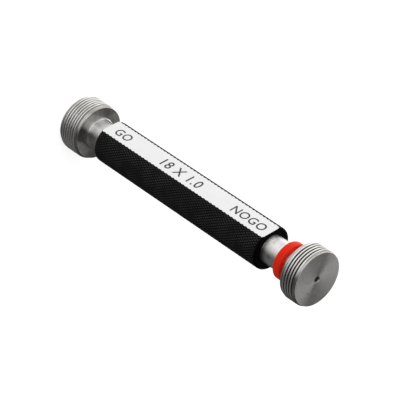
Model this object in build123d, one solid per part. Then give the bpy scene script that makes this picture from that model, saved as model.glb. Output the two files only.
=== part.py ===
from build123d import *
from math import radians, tan
import os

# Double-ended thread plug gauge for an 18 x 1 internal thread, in millimetres.
# It stands on the end face of its GO plug: +Z runs from the GO end to the NOGO end,
# the axis is X = Y = 0, and the milled flat of the handle faces -Y.

# Screw thread, 60 degree form, right hand; its helix is drawn some turns past each end of a plug
thread_diameter = 18.0
thread_pitch = 1.0
flank_angle = 30.0
root_flat = 0.25
turn_room = 1.5

# GO plug: full thread form
go_crest_flat = 0.125
go_thread_start = 270.0
go_plug_length = 8.25

# NOGO plug: truncated crests on a larger pitch diameter
nogo_crest_flat = 0.356
nogo_pitch_allowance = 0.16
nogo_thread_start = 280.0
nogo_plug_length = 6.1

# Land at each end of a plug, turned down below the thread's root, from which a chamfer climbs
land_length = 0.45
land_relief = 0.05
chamfer_angle = 45.0

# Stem behind each plug: a collar, a neck, and a shank that is pressed into the handle's bore
stem_diameter = 8.9
collar_diameter = 10.2
collar_length = 0.8
go_neck_length = 6.1
nogo_neck_length = 12.65
shank_length = 15.0

# Centre holes that the members are ground between
centre_half_angle = 30.0
centre_pilot_diameter = 1.0
centre_mouth_diameter = 2.12
centre_pilot_length = 1.4

# Handle
handle_diameter = 13.6
handle_length = 71.3
handle_chamfer = 0.35
flat_distance = 5.85

# Marking ring on the NOGO neck
ring_diameter = 12.0
ring_width = 2.6
ring_chamfer = 0.35
ring_to_plug = 3.3

# Reach within which an edge counts as lying on an end face
sliver = 0.001

# Rise of a flank per millimetre of radius, and the two pitch radii
slope = tan(radians(flank_angle))
go_pitch_radius = thread_diameter / 2 - (thread_pitch / 4 - go_crest_flat / 2) / slope
nogo_pitch_radius = go_pitch_radius + nogo_pitch_allowance / 2

# Heights at which the pieces meet
handle_start = go_plug_length + go_neck_length
handle_end = handle_start + handle_length
overall_length = handle_end + nogo_neck_length + nogo_plug_length


def turned(outline):
    """Revolve a closed outline of (radius, height) points about the Z axis."""
    return revolve(Plane.XZ * make_face(Polyline(*outline, close=True)), Axis.Z)


def helix(point, turns):
    """A right-hand helix through a (radius, height) point of the thread form."""
    radius, height = point
    start = height - thread_pitch * turn_room
    return Pos(0, 0, start) * Helix(pitch=thread_pitch, height=turns * thread_pitch, radius=radius)


def thread_radii(pitch_radius, crest_flat):
    """The radii of a thread's root and crest flats."""
    root_radius = pitch_radius - (thread_pitch / 4 - root_flat / 2) / slope
    crest_radius = pitch_radius + (thread_pitch / 4 - crest_flat / 2) / slope
    return root_radius, crest_radius


def thread_rod(pitch_radius, crest_flat, length):
    """A plain-ended screw of the given length: helical strips closed by two flat faces."""
    root_radius, crest_radius = thread_radii(pitch_radius, crest_flat)
    form = [
        (root_radius, -root_flat / 2),
        (root_radius, root_flat / 2),
        (crest_radius, thread_pitch / 2 - crest_flat / 2),
        (crest_radius, thread_pitch / 2 + crest_flat / 2),
        (root_radius, thread_pitch - root_flat / 2),
    ]
    turns = length / thread_pitch + 2 * turn_room
    slab = Cylinder(2 * crest_radius, length, align=(Align.CENTER, Align.CENTER, Align.MIN))
    strips = []
    for lower, upper in zip(form, form[1:]):
        strip = Face.make_surface_from_curves(helix(lower, turns).edge(), helix(upper, turns).edge())
        strips += (strip & slab).faces()
    edges = ShapeList([edge for strip in strips for edge in strip.edges()])
    ends = [
        Face(Wire(edges.filter_by_position(Axis.Z, height - sliver, height + sliver)))
        for height in (0, length)
    ]
    return Solid(Shell(strips + ends))


def threaded_plug(pitch_radius, crest_flat, start_angle, length):
    """A disc on Z = 0 whose thread runs out through a chamfer into a land at each end."""
    root_radius, crest_radius = thread_radii(pitch_radius, crest_flat)
    land = root_radius - land_relief
    clear = crest_radius + land_relief
    chamfer_end = land_length + (clear - land) * tan(radians(chamfer_angle))
    envelope = turned([
        (0, 0),
        (land, 0),
        (land, land_length),
        (clear, chamfer_end),
        (clear, length - chamfer_end),
        (land, length - land_length),
        (land, length),
        (0, length),
    ])
    return envelope & Rot(0, 0, start_angle) * thread_rod(pitch_radius, crest_flat, length)


def centre_hole():
    """A conical centre hole that opens downwards at Z = 0."""
    pilot = centre_pilot_diameter / 2
    mouth = centre_mouth_diameter / 2
    cone_depth = (mouth - pilot) / tan(radians(centre_half_angle))
    bottom = cone_depth + centre_pilot_length
    return turned([(0, 0), (mouth, 0), (pilot, cone_depth), (pilot, bottom), (0, bottom)])


def member(plug, plug_length, neck_length):
    """One gauging member from its plug, which lies on Z = 0, with the shank pointing up."""
    radius = stem_diameter / 2
    collar = collar_diameter / 2
    collar_end = plug_length + collar_length
    end = plug_length + neck_length + shank_length
    stem = turned([
        (0, plug_length),
        (collar, plug_length),
        (collar, collar_end),
        (radius, collar_end),
        (radius, end),
        (0, end),
    ])
    return plug + stem - centre_hole()


def go_member():
    """The GO member stands on the face of its plug."""
    plug = threaded_plug(go_pitch_radius, go_crest_flat, go_thread_start, go_plug_length)
    return member(plug, go_plug_length, go_neck_length)


def nogo_member():
    """The NOGO member is turned end for end, so that its plug is uppermost."""
    plug = threaded_plug(nogo_pitch_radius, nogo_crest_flat, nogo_thread_start, nogo_plug_length)
    upright = member(plug, nogo_plug_length, nogo_neck_length)
    return Pos(0, 0, overall_length) * Rot(180, 0, 0) * upright


def handle():
    """The grip: a chamfered bar with one flat over its length and a bore right through."""
    radius = handle_diameter / 2
    bar = turned([
        (0, handle_start),
        (radius - handle_chamfer, handle_start),
        (radius, handle_start + handle_chamfer),
        (radius, handle_end - handle_chamfer),
        (radius - handle_chamfer, handle_end),
        (0, handle_end),
    ])
    milled_off = Pos(0, -flat_distance, handle_start) * Box(
        handle_diameter, handle_diameter, handle_length, align=(Align.CENTER, Align.MAX, Align.MIN)
    )
    bore = Pos(0, 0, handle_start) * Cylinder(
        stem_diameter / 2, handle_length, align=(Align.CENTER, Align.CENTER, Align.MIN)
    )
    return bar - milled_off - bore


def nogo_marking_ring():
    """The red ring, pushed over the neck behind the NOGO plug."""
    bore = stem_diameter / 2
    outside = ring_diameter / 2
    top = overall_length - nogo_plug_length - ring_to_plug
    bottom = top - ring_width
    return turned([
        (bore, bottom),
        (outside - ring_chamfer, bottom),
        (outside, bottom + ring_chamfer),
        (outside, top - ring_chamfer),
        (outside - ring_chamfer, top),
        (bore, top),
    ])


os.makedirs("parts", exist_ok=True)
pieces = {
    "handle": handle(),
    "go_member": go_member(),
    "nogo_member": nogo_member(),
    "nogo_marking_ring": nogo_marking_ring(),
}
for name, shape in pieces.items():
    export_step(shape, f"parts/{name}.step")
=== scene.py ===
"""Looks of the thread plug gauge: a black knurled grip, two steel screw members and a red ring."""

import math
from types import SimpleNamespace

import bmesh
import bpy
from mathutils import Matrix, Vector


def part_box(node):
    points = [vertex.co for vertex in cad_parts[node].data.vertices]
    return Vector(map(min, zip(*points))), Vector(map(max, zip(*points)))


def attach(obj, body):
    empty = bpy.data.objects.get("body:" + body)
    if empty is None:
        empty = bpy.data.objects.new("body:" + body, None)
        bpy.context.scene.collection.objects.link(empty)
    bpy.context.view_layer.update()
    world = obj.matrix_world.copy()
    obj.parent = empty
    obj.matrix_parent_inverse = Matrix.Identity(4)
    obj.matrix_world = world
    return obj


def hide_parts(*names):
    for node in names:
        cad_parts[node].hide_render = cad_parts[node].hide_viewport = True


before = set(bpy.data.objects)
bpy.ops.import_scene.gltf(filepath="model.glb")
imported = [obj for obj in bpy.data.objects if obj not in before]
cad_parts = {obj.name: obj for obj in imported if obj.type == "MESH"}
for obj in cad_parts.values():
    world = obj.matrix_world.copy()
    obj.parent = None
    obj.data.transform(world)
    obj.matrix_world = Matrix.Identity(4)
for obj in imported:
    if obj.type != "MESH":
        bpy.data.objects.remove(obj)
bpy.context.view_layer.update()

MM = 0.001
GRIP_LOW, GRIP_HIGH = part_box("handle")
GO_LOW, GO_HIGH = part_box("go_member")
NOGO_LOW, NOGO_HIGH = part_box("nogo_member")
RING_LOW, RING_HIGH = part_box("nogo_marking_ring")

# Steps round the axis, round a small edge and round the ring's rim
ROUND_STEPS = 192
EDGE_STEPS = 4
RIM_STEPS = 6

# Reach within which points merge, in a finished piece and in a cutter
MERGE_REACH = 1e-7
CUTTER_MERGE_REACH = 1e-8

# Edges sharper than this stay crisp, in degrees
CRISP_ANGLE = 40
GRIP_CRISP_ANGLE = 18

# Screw thread, 60 degree form, right hand
THREAD_PITCH = 1.0 * MM
FLANK_RISE = math.tan(math.radians(30))
ROOT_FLAT = 0.25 * MM

# Half the width of the thread's broken edges, the rows of points up a flank, and the turns drawn
# before the plug begins
EDGE_BREAK = 0.02 * MM
FLANK_SHARES = (0.25, 0.5, 0.75)
SPARE_TURNS = 2

# The two screw plugs. Each one is built from its end face inwards, up from the GO face and down
# from the NOGO face. Metal is the colour of the ground thread, lighter on the GO plug as painted
# light though both are the same steel, and the last number is how dark the thread's roots are
# painted, as painted shade in the grooves
GO_PLUG = SimpleNamespace(
    name="go_screw_plug",
    face=GO_LOW.z,
    inwards=1,
    stem_end=GO_HIGH.z,
    radius=GO_HIGH.x,
    crest_flat=0.125 * MM,
    length=8.25 * MM,
    root_height=0.25 * MM,
    # Painted light: this thread's metal is set lighter than the NOGO thread's, though the steel is
    # the same
    metal=(0.86, 0.85, 0.83, 1.0),
    root_shade_strength=0.40,
)
NOGO_PLUG = SimpleNamespace(
    name="nogo_screw_plug",
    face=NOGO_HIGH.z,
    inwards=-1,
    stem_end=NOGO_LOW.z,
    radius=NOGO_HIGH.x,
    crest_flat=0.356 * MM,
    length=6.1 * MM,
    root_height=0.222 * MM,
    metal=(0.68, 0.67, 0.65, 1.0),
    root_shade_strength=0.95,
)

# Land at each end of a plug
LAND_LENGTH = 0.45 * MM
LAND_RELIEF = 0.05 * MM
LAND_ROUNDING = 0.04 * MM
LAND_EDGE = 0.06 * MM
FACE_RING_SHARE = 0.5

# Collar and stem behind each plug
STEM_RADIUS = 4.45 * MM
STEM_ROUNDING = 0.2 * MM
COLLAR_RADIUS = 5.1 * MM
COLLAR_LENGTH = 0.8 * MM
COLLAR_CHAMFER = 0.2 * MM
COLLAR_ROUNDING = 0.08 * MM

# Centre hole in each end face
CENTRE_CONE_RISE = math.tan(math.radians(30))
CENTRE_PILOT_RADIUS = 0.5 * MM
CENTRE_MOUTH_RADIUS = 1.06 * MM
CENTRE_PILOT_LENGTH = 1.4 * MM
CENTRE_ROUNDING = 0.05 * MM

# Distances before a land at which the grooves begin to turn dull, and at which they are dull
GROOVE_FADES = 0.55 * MM
GROOVE_DULL = 0.15 * MM

# Depth below the crests at which the roots' painted shade is full, and width of a centre hole's
# bare steel mouth beside its painted shade
ROOT_SHADE_DEPTH = 0.30 * MM
BARE_MOUTH = 0.25 * MM

# Grip
GRIP_RADIUS = GRIP_HIGH.x
GRIP_START = GRIP_LOW.z
GRIP_END = GRIP_HIGH.z
GRIP_LENGTH = GRIP_END - GRIP_START
FLAT_Y = GRIP_LOW.y
GRIP_CHAMFER = 0.35 * MM

# Diamond knurl. Its last number is the size of a diamond's flat top beside the whole diamond
KNURL_STARTS = 48
KNURL_PITCH = 1.5 * MM
KNURL_DEPTH = 0.11 * MM
KNURL_TOP = 0.34

# Depths below the diamonds' tops at which they begin to be painted lighter, as wear and as a
# painted highlight, and at which they are fully so
TOP_LIGHTENING_BEGINS = 0.05 * MM
TOP_LIGHTENING_FULL = 0.01 * MM

# How far the turned blank stands off the knurl, and the milling block past the grip's ends
BLANK_CLEARANCE = 0.05 * MM
MILLING_CLEARANCE = 2 * MM

# Lettering on the flat: the words, their size, and where along the grip their middle lies
MARKINGS = (
    ("GO", 4.25 * MM, 0.092),
    ("18 X 1.0", 4.75 * MM, 0.458),
    ("NOGO", 4.25 * MM, 0.872),
)
LETTER_DEPTH = 0.06 * MM
LETTER_BODY = 0.3 * MM
LETTER_THICKENING = 0.06 * MM
LETTER_SPACING = 1.08
LETTER_CURVE_STEPS = 5
LETTER_BASE_X = 0.37 * MM

# How a face of the grip is told to be on the flat, in a letter or on a turned end
FLAT_REACH = 1e-7
FACING_FLAT = 0.9
LETTER_FLOOR = LETTER_DEPTH * 1.1
LETTER_REACH = 2.6 * MM
FACING_END = 0.6

# Red ring
RING_RIM = 0.45 * MM

# Floor and lamp
FLOOR_SIZE = 3.0
FLOOR_DROP = 0.02 * MM
FLOOR_GLOW = 0.72
LAMP_PLACE = Vector((-0.20, -1.15, 0.62))
LAMP_TARGET = Vector((0, 0, 0.05))
LAMP_SIZE = 2.0
LAMP_POWER = 14.0

# Studio as metal sees it: one pale side, and soft cards that each have a direction, the cosines
# of the angle to it at which their light begins and is full, and a strength. Directions point from
# the gauge to the light
KEY_SIDE = (-0.28, -0.86, -0.45)
KEY_BEGINS, KEY_FULL = -0.15, 0.95
DARK_SIDE_LEVEL = 0.06
KEY_LEVEL = 1.30
FILL_LEVEL = 0.45
STUDIO_CARDS = {
    "back": ((-0.88, 0.46, 0.06), 0.82, 0.96, 1.8),
    "left": ((-0.85, -0.15, 0.50), 0.84, 0.98, 0.60),
    "low": ((-0.90, 0.10, -0.42), 0.76, 0.93, 0.6),
    "high": ((0.28, 0.58, 0.76), 0.76, 1.0, 0.14),
    "front": ((0.46, -0.64, 0.61), 0.78, 0.97, 1.3),
    "far": ((0.62, 0.45, -0.62), 0.62, 0.96, 0.10),
    "upper": ((-0.56, -0.45, 0.70), 0.88, 0.97, 0.6),
}

# Camera
CAMERA_SENSOR = 36.0
CAMERA_LENS = 202.57
CAMERA_TARGET = Vector((-0.202, -0.100, 54.739)) * MM
CAMERA_DISTANCE = 655.21 * MM
CAMERA_AZIMUTH = math.radians(40.243)
CAMERA_ELEVATION = math.radians(37.609)
CAMERA_ROLL = math.radians(123.87)
CAMERA_REACH = (0.01, 20.0)


class Field:
    """A node's output socket with Python arithmetic, each operation of which adds a Math node."""

    def __init__(self, nodes, socket):
        self.nodes = nodes
        self.socket = socket

    def _math(self, operation, first, second):
        return self.nodes.node("ShaderNodeMath", {"operation": operation}, {0: first, 1: second})

    def __add__(self, other):
        return self._math("ADD", self, other)

    def __sub__(self, other):
        return self._math("SUBTRACT", self, other)

    def __rsub__(self, other):
        return self._math("SUBTRACT", other, self)

    def __mul__(self, other):
        return self._math("MULTIPLY", self, other)

    def __truediv__(self, other):
        return self._math("DIVIDE", self, other)

    def __pow__(self, other):
        return self._math("POWER", self, other)

    __radd__ = __add__
    __rmul__ = __mul__


class Nodes:
    """A node tree that is filled by one method, with shorter names for the common nodes."""

    def __init__(self, tree):
        self.tree = tree

    def node(self, kind, settings=None, sockets=None, output=0):
        """Adds a node: its settings first, then the values or links of its sockets."""
        made = self.tree.nodes.new(kind)
        for key, value in (settings or {}).items():
            setattr(made, key, value)
        for key, value in (sockets or {}).items():
            self.feed(made.inputs[key], value)
        return Field(self, made.outputs[output])

    def feed(self, socket, value):
        """Links a field to a socket, or sets the socket to a plain value."""
        if isinstance(value, Field):
            self.tree.links.new(value.socket, socket)
        else:
            socket.default_value = value

    def ramp(self, value, low, high, low_level=0.0, high_level=1.0):
        """A smooth change of level between two values."""
        return self.node(
            "ShaderNodeMapRange",
            {"interpolation_type": "SMOOTHSTEP"},
            {
                "Value": value,
                "From Min": low,
                "From Max": high,
                "To Min": low_level,
                "To Max": high_level,
            },
        )

    def mix(self, share, first, second):
        """A colour between two colours."""
        return self.node(
            "ShaderNodeMix",
            {"data_type": "RGBA"},
            {"Factor": share, "A": first, "B": second},
            output="Result",
        )

    def rays(self):
        """Fields that are 1 for a ray from the camera, off a glossy surface and through glass."""
        return [
            self.node("ShaderNodeLightPath", output=kind)
            for kind in ("Is Camera Ray", "Is Glossy Ray", "Is Transmission Ray")
        ]


class Finish(Nodes):
    """A procedural surface: its material, its shader and the fields that vary over it."""

    def __init__(self, name):
        self.material = bpy.data.materials.new(name)
        self.material.use_nodes = True
        super().__init__(self.material.node_tree)
        self.shader = self.tree.nodes["Principled BSDF"]

    def surface(self, **sockets):
        """Sets the shader's own sockets, named with underscores for spaces."""
        for key, value in sockets.items():
            self.feed(self.shader.inputs[key.replace("_", " ")], value)
        return self.material

    def coordinates(self):
        """The place on the object, in metres."""
        return self.node("ShaderNodeTexCoord", output="Object")

    def place(self):
        """The x, y and z fields of the place on the object, in metres."""
        coordinates = self.coordinates()
        return [
            self.node("ShaderNodeSeparateXYZ", sockets={"Vector": coordinates}, output=axis)
            for axis in ("X", "Y", "Z")
        ]

    def vector(self, x, y, z):
        """A vector field of three fields."""
        return self.node("ShaderNodeCombineXYZ", sockets={"X": x, "Y": y, "Z": z})

    def noise(self, vector, detail, scale=1.0, roughness=0.5):
        """Soft noise between 0 and 1."""
        return self.node(
            "ShaderNodeTexNoise",
            sockets={"Vector": vector, "Scale": scale, "Detail": detail, "Roughness": roughness},
        )

    def clouds(self, scale, detail, roughness=0.5):
        """Noise that is alike in every direction."""
        return self.noise(self.coordinates(), detail, scale, roughness)

    def bump(self, height, distance):
        """A normal for a height field whose full height is the given distance."""
        return self.node(
            "ShaderNodeBump",
            sockets={"Height": height, "Distance": distance, "Strength": 1.0},
        )


def rgb(red, green, blue):
    return (red, green, blue, 1.0)


def grey(level):
    return rgb(level, level, level)


# Finishes


def distance_from_axis(x, y):
    return (x * x + y * y) ** 0.5


def turning_marks(finish, fineness, spread, detail):
    """Noise drawn out round the axis, as a turning or grinding tool leaves it."""
    x, y, z = finish.place()
    radius = distance_from_axis(x, y)
    along = finish.vector(x / radius * spread, y / radius * spread, (radius + z) * fineness)
    return finish.noise(along, detail)


def ground_steel():
    """Hardened steel, turned and ground: fine marks that run round the axis, and a few stains."""
    finish = Finish("ground_steel")
    fine = turning_marks(finish, fineness=16000, spread=1.6, detail=3)
    broad = turning_marks(finish, fineness=2600, spread=2.4, detail=2)
    stain = finish.clouds(scale=520, detail=5, roughness=0.6)
    dull = finish.ramp(stain, low=0.52, high=0.74)
    bands = finish.mix(broad, rgb(0.70, 0.69, 0.68), rgb(0.64, 0.63, 0.62))
    return finish.surface(
        Base_Color=finish.mix(dull * 0.55, bands, rgb(0.40, 0.385, 0.36)),
        Metallic=1.0,
        Roughness=0.23 + broad * 0.14 + dull * 0.10,
        Anisotropic=0.85,
        Anisotropic_Rotation=0.25,
        Normal=finish.bump(fine * 0.6 + broad * 0.4, distance=0.005 * MM),
    )


def turned_shoulder():
    """The back and the lands of a plug, turned before hardening and not ground: duller, browner."""
    finish = Finish("turned_shoulder")
    grooves = turning_marks(finish, fineness=7000, spread=1.2, detail=3)
    patches = finish.ramp(finish.clouds(scale=380, detail=4), low=0.30, high=0.70)
    return finish.surface(
        Base_Color=finish.mix(patches, rgb(0.54, 0.52, 0.50), rgb(0.34, 0.33, 0.315)),
        Metallic=1.0,
        Roughness=0.27 + grooves * 0.12,
        Anisotropic=0.8,
        Anisotropic_Rotation=0.25,
        Normal=finish.bump(grooves, distance=0.006 * MM),
    )


def thread_steel(plug):
    """Ground thread flanks: bright crests, dull run-outs, and roots painted dark as painted shade.
    """
    finish = Finish(f"{plug.name}_thread_steel")
    x, y, z = finish.place()
    middle = plug.face + plug.inwards * plug.length / 2
    from_middle = ((z - middle) * (z - middle)) ** 0.5
    last_groove = plug.length / 2 - LAND_LENGTH
    grooved = finish.ramp(
        from_middle,
        low=last_groove - GROOVE_FADES,
        high=last_groove - GROOVE_DULL,
        low_level=1.0,
        high_level=0.0,
    )
    below_crest = finish.ramp(
        distance_from_axis(x, y),
        low=plug.radius - ROOT_SHADE_DEPTH,
        high=plug.radius,
        low_level=1.0,
        high_level=0.0,
    )
    depth = grooved * below_crest
    root_shade_mottle = finish.clouds(scale=700, detail=4)
    polish = turning_marks(finish, fineness=9000, spread=8.0, detail=2)
    metal = finish.mix(grooved, rgb(0.38, 0.37, 0.36), plug.metal)
    return finish.surface(
        # Painted shade: the roots are coloured near-black below the crests, most of all on the NOGO
        # plug
        Base_Color=finish.mix(depth * (plug.root_shade_strength + root_shade_mottle * 0.5), metal, rgb(0.055, 0.05, 0.042)),
        Metallic=1.0,
        Roughness=0.20 + polish * 0.10 + depth * 0.20,
        Normal=finish.bump(polish, distance=0.004 * MM),
    )


def painted_hole_shade():
    """A centre hole coloured near-black and dull as painted shade, with bare steel at its mouth."""
    finish = Finish("painted_hole_shade")
    x, y = finish.place()[:2]
    radius = distance_from_axis(x, y)
    hole_mottle = finish.clouds(scale=6000, detail=3)
    lighter_share = finish.ramp(radius, low=CENTRE_MOUTH_RADIUS - BARE_MOUTH, high=CENTRE_MOUTH_RADIUS)
    # Painted shade: the hole is coloured near-black, where shade falls in it
    skin = finish.mix(hole_mottle, rgb(0.012, 0.011, 0.010), rgb(0.035, 0.031, 0.028))
    return finish.surface(
        Base_Color=finish.mix(lighter_share, skin, grey(0.40)),
        Metallic=0.2 + lighter_share * 0.8,
        Roughness=0.62 - lighter_share * 0.3 + hole_mottle * 0.1,
        Specular_IOR_Level=0.2,
        Normal=finish.bump(hole_mottle, distance=0.01 * MM),
    )


def black_knurl():
    """Blackened aluminium, satin in the grooves. The diamonds' tops are a little lighter, partly
    from wear and partly as a painted highlight.
    """
    finish = Finish("black_knurl")
    x, y = finish.place()[:2]
    radius = distance_from_axis(x, y)
    tops_worn_and_lit = finish.ramp(radius, low=GRIP_RADIUS - TOP_LIGHTENING_BEGINS, high=GRIP_RADIUS - TOP_LIGHTENING_FULL)
    wear_and_glint_patches = finish.clouds(scale=260, detail=4)
    grain = finish.clouds(scale=9000, detail=2)
    lighter_share = tops_worn_and_lit * finish.ramp(wear_and_glint_patches, low=0.38, high=0.62, low_level=0.45)
    return finish.surface(
        # Painted highlight and wear: the tops of the diamonds are coloured lighter than the grooves
        Base_Color=finish.mix(lighter_share, rgb(0.0044, 0.0044, 0.0045), rgb(0.046, 0.046, 0.047)),
        Metallic=0.0,
        Roughness=0.50 - lighter_share * 0.12 + grain * 0.08,
        Specular_IOR_Level=0.05,
        Normal=finish.bump(grain, distance=0.004 * MM),
    )


def shaded_black_end():
    """The grip's turned ends: a darker copy of the knurl's black, as painted shade, with no
    lighter tops.
    """
    finish = Finish("shaded_black_end")
    rings = turning_marks(finish, fineness=8000, spread=1.5, detail=3)
    return finish.surface(
        # Painted shade: the ends are coloured darker than the knurl's black
        Base_Color=finish.mix(rings, grey(0.0008), grey(0.0022)),
        Roughness=0.55 + rings * 0.15,
        Specular_IOR_Level=0.02,
        Normal=finish.bump(rings, distance=0.004 * MM),
    )


def milled_flat():
    """The bright flat: lengthwise polish marks over a faint milling pattern."""
    finish = Finish("milled_flat")
    x, y, z = finish.place()
    lines = finish.noise(finish.vector(x * 14000, y, z * 260), detail=3)
    passes = finish.noise(finish.vector(x * 300, y, z * 3600), detail=1)
    return finish.surface(
        Base_Color=finish.mix(finish.clouds(scale=330, detail=4), grey(0.71), grey(0.66)),
        Metallic=1.0,
        Roughness=0.26 + lines * 0.10,
        Normal=finish.bump(lines * 0.7 + passes * 0.3, distance=0.0022 * MM),
    )


def etched_grey():
    """The burnt, matt floor of the marking."""
    finish = Finish("etched_grey")
    burn = finish.clouds(scale=5200, detail=3)
    return finish.surface(
        Base_Color=finish.mix(burn, grey(0.05), grey(0.11)),
        Metallic=0.3,
        Roughness=0.70 + burn * 0.12,
        Normal=finish.bump(burn, distance=0.01 * MM),
    )


def red_plastic():
    """Moulded red plastic with a soft shine."""
    finish = Finish("red_plastic")
    tint = finish.clouds(scale=240, detail=3)
    skin = finish.clouds(scale=3600, detail=2)
    return finish.surface(
        Base_Color=finish.mix(tint, rgb(0.96, 0.028, 0.004), rgb(0.88, 0.018, 0.003)),
        Roughness=0.36 + skin * 0.12,
        Specular_IOR_Level=0.16,
        Normal=finish.bump(skin, distance=0.004 * MM),
    )


# Mesh building


def softened(corners, steps=EDGE_STEPS):
    """The points of an outline of (radius, height, rounding) corners. Its two ends are sharp."""
    points = []
    for index, (radius, height, rounding) in enumerate(corners):
        corner = Vector((radius, height))
        if rounding == 0:
            points.append(corner)
            continue
        before = Vector(corners[index - 1][:2]) - corner
        after = Vector(corners[index + 1][:2]) - corner
        start = corner + before.normalized() * rounding
        end = corner + after.normalized() * rounding
        for step in range(steps + 1):
            share = step / steps
            points.append(
                start * (1 - share) ** 2 + corner * (2 * share * (1 - share)) + end * share**2
            )
    return points


def new_object(name, data):
    """An object in the scene, with the given mesh, curve, lamp or camera."""
    made = bpy.data.objects.new(name, data)
    bpy.context.scene.collection.objects.link(made)
    return made


def mesh_of(name, bm):
    """A mesh with what a bmesh holds, which is freed."""
    mesh = bpy.data.meshes.new(name)
    bm.to_mesh(mesh)
    bm.free()
    return mesh


def new_piece(name, bm, finishes, crisp_degrees):
    """Turns a bmesh into an object whose edges are smooth up to the given angle."""
    bmesh.ops.remove_doubles(bm, verts=bm.verts, dist=MERGE_REACH)
    bmesh.ops.dissolve_degenerate(bm, edges=bm.edges, dist=MERGE_REACH)
    bmesh.ops.recalc_face_normals(bm, faces=bm.faces)
    mesh = mesh_of(name, bm)
    for finish in finishes:
        mesh.materials.append(finish)
    mesh.shade_smooth()
    mesh.set_sharp_from_angle(angle=math.radians(crisp_degrees))
    return new_object(name, mesh)


def ring_of(bm, radius, height, turn):
    """One ring of vertices, or the same vertex all round where the radius is nothing."""
    if radius == 0:
        return [bm.verts.new((0, 0, height))] * ROUND_STEPS
    ring = []
    for step in range(ROUND_STEPS):
        angle = turn * 2 * math.pi * step / ROUND_STEPS
        ring.append(bm.verts.new((radius * math.cos(angle), radius * math.sin(angle), height)))
    return ring


def bridge(bm, lower, upper, finish_index=0):
    """Faces between two rings of equal length, with corners that coincide left out."""
    steps = len(lower)
    for step in range(steps):
        following = (step + 1) % steps
        corners = [lower[step], lower[following], upper[following], upper[step]]
        corners = list(dict.fromkeys(corners))
        if len(corners) > 2:
            bm.faces.new(corners).material_index = finish_index


def lathe(bm, points, turn=1, finish_index=0):
    """A ring of vertices for each (radius, height) point of an outline, and faces between them."""
    rings = [ring_of(bm, radius, height, turn) for radius, height in points]
    for lower, upper in zip(rings, rings[1:]):
        bridge(bm, lower, upper, finish_index)
    return rings


# Screw members

GROUND, THREADED, SHADED_HOLE, TURNED = range(4)


def thread_radius(plug, reach):
    """The radius of the thread form at a distance along the axis from the middle of a root."""
    pitch_radius = plug.radius - (THREAD_PITCH / 4 - plug.crest_flat / 2) / FLANK_RISE
    offset = abs(reach / THREAD_PITCH - round(reach / THREAD_PITCH)) * THREAD_PITCH
    on_flank = min(max(offset, ROOT_FLAT / 2), THREAD_PITCH / 2 - plug.crest_flat / 2)
    return pitch_radius + (on_flank - THREAD_PITCH / 4) / FLANK_RISE


def land_radius(plug):
    """The radius of the plain lands, just below the thread's root."""
    return thread_radius(plug, 0) - LAND_RELIEF


def thread_rows(plug):
    """Places along one pitch, from a root's middle, at which the thread form has a row of points."""
    root = ROOT_FLAT / 2
    crest = THREAD_PITCH / 2 - plug.crest_flat / 2
    flank = [root + (crest - root) * share for share in FLANK_SHARES]
    rising = [root - EDGE_BREAK, root + EDGE_BREAK, *flank, crest - EDGE_BREAK, crest + EDGE_BREAK]
    falling = [THREAD_PITCH - reach for reach in reversed(rising)]
    return [0.0, *rising, THREAD_PITCH / 2, *falling]


def threaded_part(bm, plug):
    """The threaded side of a plug between its two lands: its first and last ring."""
    land = land_radius(plug)

    def thread_vertex(height, angle):
        into_end = min(height, plug.length - height)
        chamfer = land + into_end - LAND_LENGTH
        reach = height - plug.root_height - THREAD_PITCH * angle / (2 * math.pi)
        radius = min(chamfer, thread_radius(plug, reach))
        side = plug.inwards * angle
        return bm.verts.new(
            (radius * math.cos(side), radius * math.sin(side), plug.face + plug.inwards * height)
        )

    pattern = thread_rows(plug)
    turns = math.ceil(plug.length / THREAD_PITCH) + SPARE_TURNS
    starts = [plug.root_height + (turn - SPARE_TURNS) * THREAD_PITCH for turn in range(turns + 1)]
    bases = [start + reach for start in starts for reach in pattern]
    columns = []
    for step in range(ROUND_STEPS):
        share = step / ROUND_STEPS
        heights = [
            min(max(base + THREAD_PITCH * share, LAND_LENGTH), plug.length - LAND_LENGTH)
            for base in bases
        ]
        columns.append([thread_vertex(height, 2 * math.pi * share) for height in heights])
    shift = len(pattern)
    wrapped = columns[0][shift:] + [columns[0][-1]] * shift
    for left, right in zip(columns, [*columns[1:], wrapped]):
        for row in range(len(bases) - 1):
            corners = dict.fromkeys([left[row], right[row], right[row + 1], left[row + 1]])
            if len(corners) > 2:
                bm.faces.new(corners).material_index = THREADED
    return [column[0] for column in columns], [column[-1] for column in columns]


def plain_outlines(plug):
    """A member's centre hole, end face, shoulder and stem, as corners measured from its face."""
    land = land_radius(plug)
    collar_end = plug.length + COLLAR_LENGTH
    end = abs(plug.stem_end - plug.face)
    cone = (CENTRE_MOUTH_RADIUS - CENTRE_PILOT_RADIUS) / CENTRE_CONE_RISE
    centre_hole = [
        (0, cone + CENTRE_PILOT_LENGTH, 0),
        (CENTRE_PILOT_RADIUS, cone + CENTRE_PILOT_LENGTH, CENTRE_ROUNDING),
        (CENTRE_PILOT_RADIUS, cone, CENTRE_ROUNDING),
        (CENTRE_MOUTH_RADIUS, 0, 0),
    ]
    end_face = [
        (CENTRE_MOUTH_RADIUS, 0, 0),
        (land * FACE_RING_SHARE, 0, 0),
        (land, 0, LAND_ROUNDING),
        (land, LAND_EDGE, 0),
    ]
    shoulder = [
        (land, plug.length - LAND_EDGE, 0),
        (land, plug.length, LAND_ROUNDING),
        (COLLAR_RADIUS, plug.length, 0),
    ]
    stem = [
        (COLLAR_RADIUS, plug.length, 0),
        (COLLAR_RADIUS, collar_end - COLLAR_CHAMFER, COLLAR_ROUNDING),
        (COLLAR_RADIUS - COLLAR_CHAMFER, collar_end, COLLAR_ROUNDING),
        (STEM_RADIUS, collar_end, 0),
        (STEM_RADIUS, end, STEM_ROUNDING),
        (0, end, 0),
    ]
    return centre_hole, end_face, shoulder, stem


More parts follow.
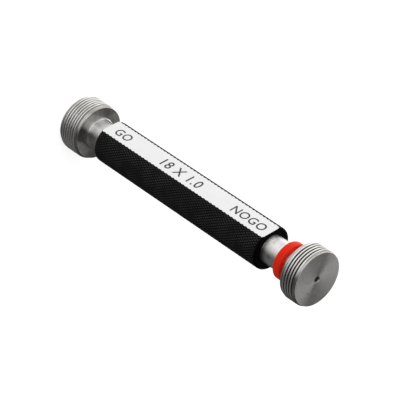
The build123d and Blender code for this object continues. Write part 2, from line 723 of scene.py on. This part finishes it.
def weight_normals(piece):
    """Lets broad faces keep their own direction beside narrow broken edges."""
    modifier = piece.modifiers.new("broad_faces_first", "WEIGHTED_NORMAL")
    modifier.keep_sharp = True


def gauging_member(plug, ground, shaded_hole_finish, turned):
    """A steel member, built from its end face inwards: plug, collar and pressed stem."""
    bm = bmesh.new()
    first, last = threaded_part(bm, plug)

    def turned_part(corners, finish_index):
        points = [(r, plug.face + plug.inwards * height) for r, height in softened(corners)]
        return lathe(bm, points, plug.inwards, finish_index)

    centre_hole, end_face, shoulder, stem = plain_outlines(plug)
    turned_part(centre_hole, SHADED_HOLE)
    front_land = turned_part(end_face, GROUND)[-1]
    back_land = turned_part(shoulder, TURNED)[0]
    turned_part(stem, GROUND)
    bridge(bm, front_land, first, TURNED)
    bridge(bm, last, back_land, TURNED)
    piece = new_piece(plug.name, bm, [ground, thread_steel(plug), shaded_hole_finish, turned], CRISP_ANGLE)
    weight_normals(piece)
    return piece


# Grip

KNURLED, BRIGHT, MARKED, TURNED_END = range(4)


def knurled_rod():
    """A closed rod of truncated diamonds, a little longer than the grip."""
    bm = bmesh.new()
    margin = 2 * KNURL_PITCH
    rows = round((GRIP_LENGTH + 2 * margin) / KNURL_PITCH) * 2
    start = GRIP_START - margin
    around = 2 * KNURL_STARTS

    def spot(column, row, radius):
        angle = math.pi * column / KNURL_STARTS
        return (radius * math.cos(angle), radius * math.sin(angle), start + row * KNURL_PITCH / 2)

    valleys = {
        (column, row): bm.verts.new(spot(column, row, GRIP_RADIUS - KNURL_DEPTH))
        for row in range(rows + 1)
        for column in range(around)
        if (column + row) % 2 == 0
    }
    neighbours = [(-1, 0), (0, -1), (1, 0), (0, 1)]
    for row in range(1, rows):
        for column in range(around):
            if (column + row) % 2 == 0:
                continue
            corners = [valleys[(column + side) % around, row + up] for side, up in neighbours]
            tops = [
                bm.verts.new(spot(column + side * KNURL_TOP, row + up * KNURL_TOP, GRIP_RADIUS))
                for side, up in neighbours
            ]
            bm.faces.new(tops)
            bridge(bm, corners, tops)
    close_zigzag(bm, valleys, around, 0, start - margin)
    close_zigzag(bm, valleys, around, rows, start + rows * KNURL_PITCH / 2 + margin)
    return bm


def close_zigzag(bm, valleys, around, row, height):
    """Closes an end of the rod over the zigzag that its last diamonds leave."""
    inner = 1 if row == 0 else row - 1
    outline = [valleys.get((column, row)) or valleys[column, inner] for column in range(around)]
    middle = bm.verts.new((0, 0, height))
    for column in range(around):
        bm.faces.new([outline[column], outline[(column + 1) % around], middle])


def turned_blank():
    """The envelope of the grip: chamfered at both ends and bored right through."""
    bm = bmesh.new()
    inset = GRIP_RADIUS - GRIP_CHAMFER
    outside = GRIP_RADIUS + BLANK_CLEARANCE
    outline = [
        (STEM_RADIUS, GRIP_START),
        (inset, GRIP_START),
        (outside, GRIP_START + GRIP_CHAMFER + BLANK_CLEARANCE),
        (outside, GRIP_END - GRIP_CHAMFER - BLANK_CLEARANCE),
        (inset, GRIP_END),
        (STEM_RADIUS, GRIP_END),
        (STEM_RADIUS, GRIP_START),
    ]
    lathe(bm, outline)
    return bm


def block_beyond_flat():
    """What the milling cutter takes away."""
    bm = bmesh.new()
    size = Vector((4 * GRIP_RADIUS, GRIP_RADIUS, GRIP_LENGTH + 2 * MILLING_CLEARANCE))
    centre = Vector((0, FLAT_Y - size.y / 2, (GRIP_START + GRIP_END) / 2))
    matrix = Matrix.Translation(centre) @ Matrix.Diagonal((*size, 1))
    bmesh.ops.create_cube(bm, size=1, matrix=matrix)
    return bm


def marking(words, size, height):
    """Solid letters that reach a little into the flat and read from the GO end to the NOGO end."""
    curve = bpy.data.curves.new("marking", "FONT")
    curve.body = words
    curve.size = size
    curve.align_x = "CENTER"
    curve.align_y = "CENTER"
    curve.extrude = LETTER_BODY
    curve.offset = LETTER_THICKENING
    curve.space_character = LETTER_SPACING
    curve.resolution_u = LETTER_CURVE_STEPS
    text = new_object("marking", curve)
    bpy.context.view_layer.update()
    mesh = bpy.data.meshes.new_from_object(text.evaluated_get(bpy.context.evaluated_depsgraph_get()))
    bpy.data.objects.remove(text)
    along, upright, outwards = Vector((0, 0, 1)), Vector((-1, 0, 0)), Vector((0, -1, 0))
    turn = Matrix((along, upright, outwards)).transposed().to_4x4()
    place = Vector((LETTER_BASE_X, FLAT_Y + LETTER_DEPTH - LETTER_BODY, height))
    bm = bmesh.new()
    bm.from_mesh(mesh)
    bmesh.ops.remove_doubles(bm, verts=bm.verts, dist=CUTTER_MERGE_REACH)
    bmesh.ops.transform(bm, matrix=Matrix.Translation(place) @ turn, verts=bm.verts)
    return bm


def cutter(name, bm):
    """A helper object for a boolean, which is removed when it has been used."""
    bmesh.ops.remove_doubles(bm, verts=bm.verts, dist=CUTTER_MERGE_REACH)
    bmesh.ops.recalc_face_normals(bm, faces=bm.faces)
    return new_object(name, mesh_of(name, bm))


def carve(piece, tool, operation):
    """Applies one boolean operation and throws the tool away."""
    modifier = piece.modifiers.new(operation, "BOOLEAN")
    modifier.operation = operation
    modifier.solver = "MANIFOLD"
    modifier.object = tool
    bpy.context.view_layer.update()
    depsgraph = bpy.context.evaluated_depsgraph_get()
    result = bpy.data.meshes.new_from_object(piece.evaluated_get(depsgraph))
    piece.modifiers.clear()
    piece.data = result
    bpy.data.objects.remove(tool)


def grip_finish(face):
    """Which finish a face of the grip has: black knurl, bright flat, marking or turned end."""
    centre = face.calc_center_median()
    below_flat = centre.y - FLAT_Y
    if abs(below_flat) < FLAT_REACH and face.normal.y < -FACING_FLAT:
        return BRIGHT
    if below_flat < LETTER_FLOOR and abs(centre.x) < LETTER_REACH:
        return MARKED
    from_end = min(centre.z - GRIP_START, GRIP_END - centre.z)
    if abs(face.normal.z) > FACING_END and from_end < GRIP_CHAMFER:
        return TURNED_END
    return KNURLED


def knurled_grip():
    """The black grip with its diamond knurl, bright flat and shallow marking."""
    rough = cutter("rod", knurled_rod())
    carve(rough, cutter("blank", turned_blank()), "INTERSECT")
    carve(rough, cutter("beyond_flat", block_beyond_flat()), "DIFFERENCE")
    for words, size, share in MARKINGS:
        letters = marking(words, size, GRIP_START + share * GRIP_LENGTH)
        carve(rough, cutter("letters", letters), "DIFFERENCE")
    bm = bmesh.new()
    bm.from_mesh(rough.data)
    bpy.data.objects.remove(rough)
    for face in bm.faces:
        face.material_index = grip_finish(face)
    finishes = [black_knurl(), milled_flat(), etched_grey(), shaded_black_end()]
    return new_piece("knurled_grip", bm, finishes, GRIP_CRISP_ANGLE)


# Ring


def marking_ring():
    """The red ring behind the NOGO plug, with softly rounded rims."""
    outside = RING_HIGH.x
    low, high = RING_LOW.z, RING_HIGH.z
    corners = [
        (STEM_RADIUS, low, 0),
        (outside, low, RING_RIM),
        (outside, high, RING_RIM),
        (STEM_RADIUS, high, 0),
        (STEM_RADIUS, low, 0),
    ]
    bm = bmesh.new()
    lathe(bm, softened(corners, RIM_STEPS))
    return new_piece("red_ring", bm, [red_plastic()], CRISP_ANGLE)


# Stage


def pale_floor():
    """A wide pale floor that keeps the gauge's shadow and that metal looks through to the studio."""
    bm = bmesh.new()
    bmesh.ops.create_grid(bm, x_segments=1, y_segments=1, size=FLOOR_SIZE)
    bmesh.ops.translate(bm, verts=bm.verts, vec=(0, 0, -FLOOR_DROP))
    finish = Finish("pale_floor")
    camera, glossy, transmission = finish.rays()
    material = finish.surface(
        Base_Color=grey(0.62),
        Roughness=0.9,
        Specular_IOR_Level=0.0,
        Emission_Color=finish.mix(camera + transmission, grey(0.0), grey(FLOOR_GLOW)),
        Emission_Strength=1.0,
    )
    solid = Field(finish, finish.shader.outputs[0])
    clear = finish.node("ShaderNodeBsdfTransparent")
    shown = finish.node("ShaderNodeMixShader", sockets={0: glossy, 1: solid, 2: clear})
    finish.feed(finish.tree.nodes["Material Output"].inputs["Surface"], shown)
    floor = new_piece("floor", bm, [material], CRISP_ANGLE)


def key_softbox():
    """A large square lamp that looks at the gauge and has no mirror image in it."""
    lamp = bpy.data.lights.new("key_softbox", "AREA")
    lamp.shape = "SQUARE"
    lamp.size = LAMP_SIZE
    lamp.energy = LAMP_POWER
    fixture = new_object("key_softbox", lamp)
    fixture.location = LAMP_PLACE
    fixture.rotation_euler = (LAMP_TARGET - LAMP_PLACE).to_track_quat("-Z", "Y").to_euler()
    fixture.visible_glossy = False


def studio_sky():
    """White for the camera, even light on dull surfaces, and for metal a studio with soft cards."""
    world = bpy.data.worlds.new("studio_sky")
    world.use_nodes = True
    bpy.context.scene.world = world
    sky = Nodes(world.node_tree)
    camera, glossy, transmission = sky.rays()
    direction = sky.node("ShaderNodeTexCoord", output="Generated")

    def nearness(towards):
        return sky.node(
            "ShaderNodeVectorMath",
            {"operation": "DOT_PRODUCT"},
            {0: direction, 1: Vector(towards).normalized()},
            output="Value",
        )

    mirrored = sky.ramp(nearness(KEY_SIDE), KEY_BEGINS, KEY_FULL, DARK_SIDE_LEVEL, KEY_LEVEL)
    for towards, begins, full, strength in STUDIO_CARDS.values():
        mirrored = mirrored + sky.ramp(nearness(towards), begins, full, 0.0, strength)
    seen = camera + transmission
    level = seen + (1 - seen) * (glossy * mirrored + (1 - glossy) * FILL_LEVEL)
    background = sky.tree.nodes["Background"]
    sky.feed(background.inputs["Color"], grey(1.0))
    sky.feed(background.inputs["Strength"], level)


def photo_camera():
    """The camera at the photograph's angle, turned about its own axis as the photograph is."""
    camera = new_object("camera", bpy.data.cameras.new("camera"))
    camera.data.sensor_width = CAMERA_SENSOR
    camera.data.lens = CAMERA_LENS
    camera.data.clip_start, camera.data.clip_end = CAMERA_REACH
    back = Vector((
        math.sin(CAMERA_AZIMUTH) * math.cos(CAMERA_ELEVATION),
        -math.cos(CAMERA_AZIMUTH) * math.cos(CAMERA_ELEVATION),
        math.sin(CAMERA_ELEVATION),
    ))
    level = (-back).to_track_quat("-Z", "Y").to_matrix().to_4x4()
    place = Matrix.Translation(CAMERA_TARGET + back * CAMERA_DISTANCE)
    camera.matrix_world = place @ level @ Matrix.Rotation(CAMERA_ROLL, 4, "Z")
    bpy.context.scene.camera = camera


# Pieces on the frame

steel_finishes = [ground_steel(), painted_hole_shade(), turned_shoulder()]

go_member = gauging_member(GO_PLUG, *steel_finishes)
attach(go_member, "root")
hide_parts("go_member")

nogo_member = gauging_member(NOGO_PLUG, *steel_finishes)
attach(nogo_member, "root")
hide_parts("nogo_member")

grip = knurled_grip()
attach(grip, "root")
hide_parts("handle")

red_ring = marking_ring()
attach(red_ring, "root")
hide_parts("nogo_marking_ring")

pale_floor()
studio_sky()
key_softbox()
photo_camera()
bpy.context.scene.view_settings.view_transform = "Standard"
